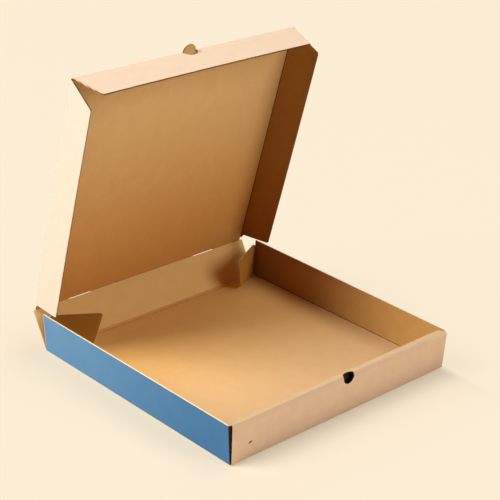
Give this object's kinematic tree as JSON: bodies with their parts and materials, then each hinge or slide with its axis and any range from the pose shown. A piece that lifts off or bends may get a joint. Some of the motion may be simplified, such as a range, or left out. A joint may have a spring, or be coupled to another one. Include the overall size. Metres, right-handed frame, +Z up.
{
  "type": "pizza box",
  "caption": "Square folded corrugated pizza box standing open, with a rolled front wall, a hinged lid with tuck flaps and thumb tab, and free rear dust flaps.",
  "frame": {"origin": "on the table, under the middle of the tray's floor", "axes": "+X along the front of the tray to the right, +Y from the front to the back, +Z up"},
  "size_m": [0.3384, 0.3572, 0.3608],
  "materials": {
    "kraft_card": "matte"
  },
  "bodies": {
    "tray": {"tray": "kraft_card"},
    "back_wall": {"back_wall": "kraft_card"},
    "lid": {"lid": "kraft_card"},
    "lid_left_flap": {"lid_left_flap": "kraft_card"},
    "lid_right_flap": {"lid_right_flap": "kraft_card"},
    "lid_front_flap": {"lid_front_flap": "kraft_card"},
    "rear_left_dust_flap": {"rear_left_dust_flap": "kraft_card"},
    "rear_right_dust_flap": {"rear_right_dust_flap": "kraft_card"}
  },
  "joints": [
    {"name": "back_wall_fold", "type": "hinge", "parent": "tray", "child": "back_wall", "pos_m": [0, 0.16425, 0.00075], "axis": [-1, 0, 0], "range_deg": [-29, 40.89]},
    {"name": "lid_hinge", "type": "hinge", "parent": "back_wall", "child": "lid", "pos_m": [0, 0.18815, 0.04387], "axis": [-1, 0, 0], "range_deg": [-45.5, 64]},
    {"name": "lid_left_flap_fold", "type": "hinge", "parent": "lid", "child": "lid_left_flap", "pos_m": [-0.16285, 0.18815, 0.04387], "axis": [0, 0.2672, -0.9636], "range_deg": [-5.5, 7.79]},
    {"name": "lid_right_flap_fold", "type": "hinge", "parent": "lid", "child": "lid_right_flap", "pos_m": [0.16285, 0.18815, 0.04387], "axis": [0, -0.2672, 0.9636], "range_deg": [-5.5, 7.79]},
    {"name": "lid_front_flap_fold", "type": "hinge", "parent": "lid", "child": "lid_front_flap", "pos_m": [0, 0.1033, 0.34982], "axis": [-1, 0, 0], "range_deg": [-8.5, 86.5]},
    {"name": "rear_left_dust_flap_fold", "type": "hinge", "parent": "tray", "child": "rear_left_dust_flap", "pos_m": [-0.16355, 0.16245, 0], "axis": [-0.0652, 0, 0.9979], "range_deg": [-7, 34]},
    {"name": "rear_right_dust_flap_fold", "type": "hinge", "parent": "tray", "child": "rear_right_dust_flap", "pos_m": [0.16355, 0.16245, 0], "axis": [-0.0652, 0, -0.9979], "range_deg": [-9, 28]}
  ],
  "couplings": [
    {"joint": "back_wall_fold", "follows": "lid_hinge", "ratio": 0.63736},
    {"joint": "lid_left_flap_fold", "follows": "lid_hinge", "ratio": 0.12088},
    {"joint": "lid_right_flap_fold", "follows": "lid_hinge", "ratio": 0.12088}
  ]
}
